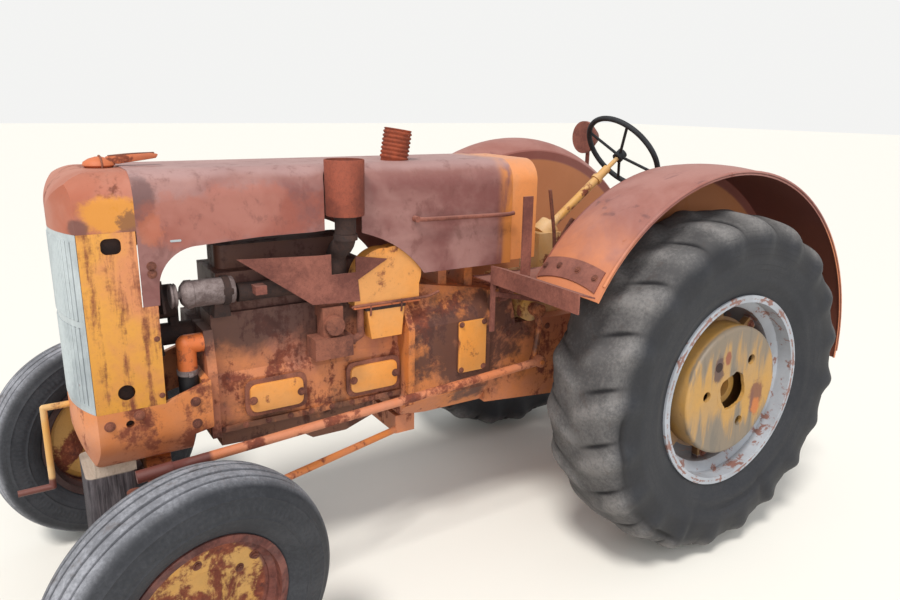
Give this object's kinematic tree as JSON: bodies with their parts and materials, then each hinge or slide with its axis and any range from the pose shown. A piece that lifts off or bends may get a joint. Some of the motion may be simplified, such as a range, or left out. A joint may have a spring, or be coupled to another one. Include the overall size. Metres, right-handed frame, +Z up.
{
  "type": "farm tractor",
  "caption": "Old standard-tread farm tractor on tall lugged rear tyres, with steerable ribbed front wheels, hood open at the engine, round fenders and a timber prop under the nose.",
  "frame": {"origin": "centre of the bounding box on the floor", "axes": "+X forward, +Y to the driver's left, +Z up"},
  "size_m": [3.5426, 1.8614, 1.8247],
  "materials": {
    "hood_paint": "worn",
    "shell_paint": "worn",
    "panel_paint": "worn",
    "casting_paint": "worn",
    "fender_paint": "worn",
    "wheel_paint": "worn",
    "rim_paint": "worn",
    "grille_paint": "worn",
    "rusty_steel": "rusted",
    "rusty_iron": "rusted",
    "bare_alloy": "weathered",
    "front_wheel_paint": "worn",
    "tyre_rubber": "dusty",
    "grip_black": "worn",
    "timber": "weathered"
  },
  "bodies": {
    "tractor": {"steering_column": "panel_paint", "engine_block": "casting_paint", "oil_pan": "casting_paint", "clutch_housing": "casting_paint", "gearbox": "casting_paint", "front_support": "casting_paint", "radiator": "rusty_steel", "radiator_shell": "shell_paint", "radiator_cap": "rusty_steel", "side_panels": "panel_paint", "grille": "grille_paint", "hood": "hood_paint", "fuel_tank": "casting_paint", "exhaust": "rusty_iron", "intake_stack": "rusty_steel", "heat_shield": "rusty_steel", "generator": "bare_alloy", "cooling_pipe": "casting_paint", "fan": "rusty_steel", "carburettor": "rusty_iron", "air_cleaner": "panel_paint", "fender_left": "fender_paint", "fender_right": "fender_paint", "platform": "rusty_steel", "seat": "rusty_steel", "levers": "rusty_steel", "headlamp": "rusty_steel", "front_axle": "rusty_iron", "timber_prop": "timber"},
    "rear_wheel_left_body": {"rear_tyre_left": "tyre_rubber", "rear_wheel_left": "wheel_paint"},
    "rear_wheel_right_body": {"rear_tyre_right": "tyre_rubber", "rear_wheel_right": "wheel_paint"},
    "front_wheel_left_body": {"front_tyre_left": "tyre_rubber", "front_wheel_left": "front_wheel_paint"},
    "front_wheel_right_body": {"front_tyre_right": "tyre_rubber", "front_wheel_right": "front_wheel_paint"},
    "knuckle_left_body": {"knuckle_left": "rusty_iron"},
    "knuckle_right_body": {"knuckle_right": "rusty_iron"},
    "tie_rod_body": {"tie_rod": "rusty_steel"},
    "drop_arm_body": {"drop_arm": "casting_paint"},
    "drag_link_body": {"drag_link": "casting_paint"},
    "steering_wheel_body": {"steering_wheel": "grip_black"},
    "crank_body": {"crank": "casting_paint"}
  },
  "joints": [
    {"name": "steer_left", "type": "hinge", "parent": "tractor", "child": "knuckle_left_body", "pos_m": [1.301, 0.542, 0.52], "axis": [0, 0, 1], "range_deg": [-44, 16]},
    {"name": "steer_right", "type": "hinge", "parent": "tractor", "child": "knuckle_right_body", "pos_m": [1.301, -0.542, 0.52], "axis": [0, 0, 1], "range_deg": [-44, 16]},
    {"name": "tie_rod_pivot", "type": "hinge", "parent": "knuckle_left_body", "child": "tie_rod_body", "pos_m": [1.15546, 0.50571, 0.476], "axis": [0, 0, 1], "range_deg": [-16, 44]},
    {"name": "drop_arm_swing", "type": "hinge", "parent": "tractor", "child": "drop_arm_body", "pos_m": [-0.335, 0.343, 1.005], "axis": [0, -1, 0], "range_deg": [-44, 16]},
    {"name": "drag_link_pivot", "type": "hinge", "parent": "drop_arm_body", "child": "drag_link_body", "pos_m": [-0.28541, 0.343, 0.80609], "axis": [0, -1, 0], "range_deg": [-16, 44]},
    {"name": "steering_wheel_turn", "type": "hinge", "parent": "tractor", "child": "steering_wheel_body", "pos_m": [-1.033, 0, 1.648], "axis": [-0.7986, 0, 0.6018], "range_deg": [-528, 192]},
    {"name": "front_left_spin", "type": "hinge", "parent": "knuckle_left_body", "child": "front_wheel_left_body", "pos_m": [1.26108, 0.7021, 0.437], "axis": [-0.2414, 0.9682, -0.0663], "continuous": true},
    {"name": "front_right_spin", "type": "hinge", "parent": "knuckle_right_body", "child": "front_wheel_right_body", "pos_m": [1.34092, -0.7021, 0.437], "axis": [0.2414, -0.9682, -0.0663], "continuous": true},
    {"name": "rear_left_spin", "type": "hinge", "parent": "tractor", "child": "rear_wheel_left_body", "pos_m": [-0.859, 0.722, 0.745], "axis": [0, 1, 0], "continuous": true},
    {"name": "rear_right_spin", "type": "hinge", "parent": "tractor", "child": "rear_wheel_right_body", "pos_m": [-0.859, -0.722, 0.745], "axis": [0, 1, 0], "continuous": true},
    {"name": "crank_turn", "type": "hinge", "parent": "tractor", "child": "crank_body", "pos_m": [1.471, 0, 0.864], "axis": [1, 0, 0], "continuous": true}
  ],
  "couplings": [
    {"joint": "steer_right", "follows": "steer_left", "ratio": 1},
    {"joint": "tie_rod_pivot", "follows": "steer_left", "ratio": -1},
    {"joint": "drop_arm_swing", "follows": "steer_left", "ratio": 1},
    {"joint": "drag_link_pivot", "follows": "steer_left", "ratio": -1},
    {"joint": "steering_wheel_turn", "follows": "steer_left", "ratio": 12}
  ]
}
